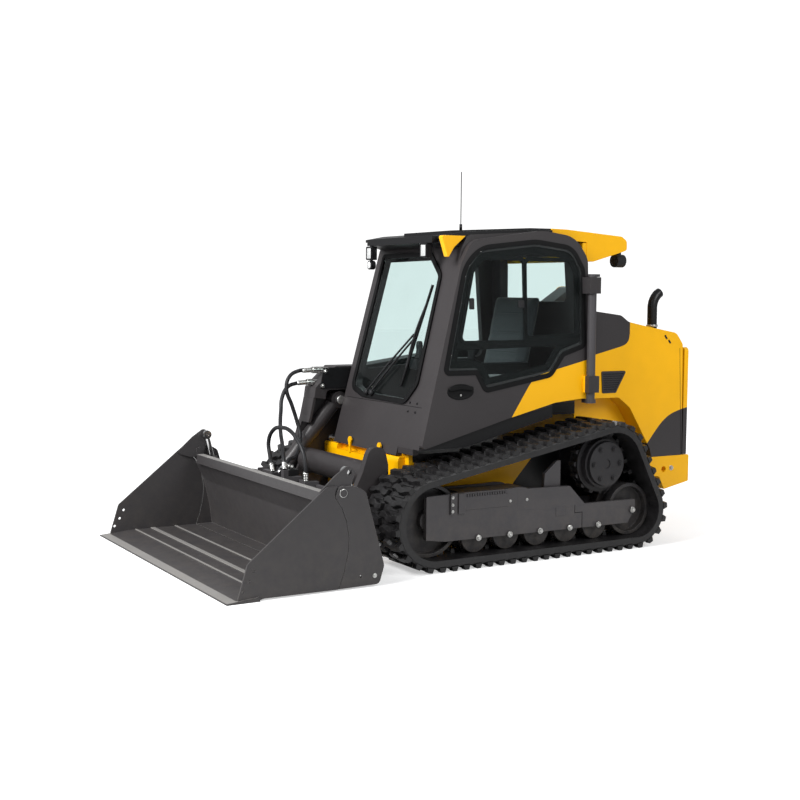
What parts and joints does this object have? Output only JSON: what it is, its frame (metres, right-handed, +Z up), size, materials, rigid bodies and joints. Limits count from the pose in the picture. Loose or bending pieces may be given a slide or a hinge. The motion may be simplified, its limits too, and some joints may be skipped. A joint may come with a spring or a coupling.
{
  "type": "compact track loader",
  "caption": "Compact rubber-tracked loader with a single side lift arm, side-entry cab and a clam-type bucket resting on the ground.",
  "frame": {"origin": "on the ground, below the centre of the bounding box", "axes": "+X towards the bucket, +Y to the machine's left, +Z up"},
  "size_m": [3.665, 2.158, 2.395],
  "materials": {
    "bare_steel": "worn bare steel",
    "black_paint": "satin black paint",
    "black_plastic": "matte black plastic",
    "cab_paint": "satin warm dark grey paint",
    "cast": "dark cast surface",
    "chrome_rod": "hard chrome",
    "frame_paint": "semi-matte mid grey paint",
    "grey_paint": "satin charcoal paint",
    "hose_rubber": "matte black hose",
    "lamp_lens": "white lamp lens",
    "seat_cloth": "dark woven cloth",
    "tinted_glass": "clear green-tinted glass",
    "track_rubber": "matte black rubber",
    "yellow_paint": "satin machine-yellow paint"
  },
  "bodies": {
    "chassis": {"chassis_frame": "yellow_paint", "track_frame_left": "frame_paint", "track_frame_right": "frame_paint", "track_left": "track_rubber", "track_right": "track_rubber", "sprocket_left": "cast", "sprocket_right": "cast", "rollers_left": "cast", "rollers_right": "cast", "cab_shell": "cab_paint", "windscreen": "tinted_glass", "cab_glass": "tinted_glass", "cab_roof": "cab_paint", "roof_rear": "yellow_paint", "visor": "black_paint", "work_lights": "lamp_lens", "rear_light": "black_plastic", "seat": "seat_cloth", "consoles": "black_plastic", "door_post": "grey_paint", "rear_body": "yellow_paint", "bumper": "yellow_paint", "exhaust": "black_paint", "engine": "cast", "boom_tower": "yellow_paint", "antenna": "black_plastic", "wiper": "black_plastic"},
    "door": {"door_frame": "cab_paint", "door_glass": "tinted_glass"},
    "rear_door": {"rear_door": "yellow_paint"},
    "boom": {"boom_arm": "grey_paint", "boom_foot": "grey_paint", "knee_cover": "black_paint", "couplers": "bare_steel", "supply_hoses": "hose_rubber"},
    "bucket": {"quick_hitch": "grey_paint", "bucket_back": "grey_paint", "bucket_hose": "hose_rubber"},
    "clam": {"clam": "grey_paint"},
    "lift_barrel": {"lift_barrel": "grey_paint"},
    "lift_rod": {"lift_rod": "chrome_rod"},
    "tilt_barrel": {"tilt_barrel": "grey_paint"},
    "tilt_rod": {"tilt_rod": "chrome_rod"},
    "clam_barrels": {"clam_barrels": "grey_paint"},
    "clam_rods": {"clam_rods": "chrome_rod"}
  },
  "joints": [
    {"name": "lift", "type": "hinge", "parent": "chassis", "child": "boom", "pos_m": [-1.662, -0.465, 1.6], "axis": [0, -1, 0], "range_deg": [0, 64]},
    {"name": "tilt", "type": "hinge", "parent": "boom", "child": "bucket", "pos_m": [0.86, 0, 0.17], "axis": [0, 1, 0], "range_deg": [-20, 100], "deforming": ["supply_hoses"]},
    {"name": "clam_open", "type": "hinge", "parent": "bucket", "child": "clam", "pos_m": [1.133, 0, 0.543], "axis": [0, -1, 0], "range_deg": [0, 55]},
    {"name": "door", "type": "hinge", "parent": "chassis", "child": "door", "pos_m": [-0.864, 0.749, 1.4], "axis": [0, 0, 1], "range_deg": [0, 80]},
    {"name": "rear_door", "type": "hinge", "parent": "chassis", "child": "rear_door", "pos_m": [-1.806, -0.345, 0.92], "axis": [0, 0, 1], "range_deg": [0, 90]},
    {"name": "lift_barrel_swing", "type": "hinge", "parent": "chassis", "child": "lift_barrel", "pos_m": [-1.386, -0.465, 0.696], "axis": [0, -1, 0], "range_deg": [-3.1, 1]},
    {"name": "lift_rod_slide", "type": "slide", "parent": "lift_barrel", "child": "lift_rod", "axis": [0.0469, 0, 0.9989], "range_m": [-0.002, 0.4248]},
    {"name": "tilt_barrel_swing", "type": "hinge", "parent": "boom", "child": "tilt_barrel", "pos_m": [0.376, -0.442, 0.921], "axis": [0, -1, 0], "range_deg": [-1.13, 1.67]},
    {"name": "tilt_rod_slide", "type": "slide", "parent": "tilt_barrel", "child": "tilt_rod", "axis": [0.6574, 0, -0.7535], "range_m": [-0.0664, 0.3241]},
    {"name": "clam_barrel_swing", "type": "hinge", "parent": "bucket", "child": "clam_barrels", "pos_m": [0.934, 0, 0.06], "axis": [0, -1, 0], "range_deg": [-1, 6.37]},
    {"name": "clam_rod_slide", "type": "slide", "parent": "clam_barrels", "child": "clam_rods", "axis": [0.251, 0, 0.968], "range_m": [-0.0992, 0.002]}
  ],
  "couplings": [
    {"joint": "lift_barrel_swing", "follows": "lift", "ratio": -0.032814},
    {"joint": "lift_rod_slide", "follows": "lift", "m_per_rad": 0.37852},
    {"joint": "tilt_barrel_swing", "follows": "tilt", "ratio": 0.006713},
    {"joint": "tilt_rod_slide", "follows": "tilt", "m_per_rad": 0.18455},
    {"joint": "clam_barrel_swing", "follows": "clam_open", "ratio": 0.097602},
    {"joint": "clam_rod_slide", "follows": "clam_open", "m_per_rad": -0.1013}
  ]
}
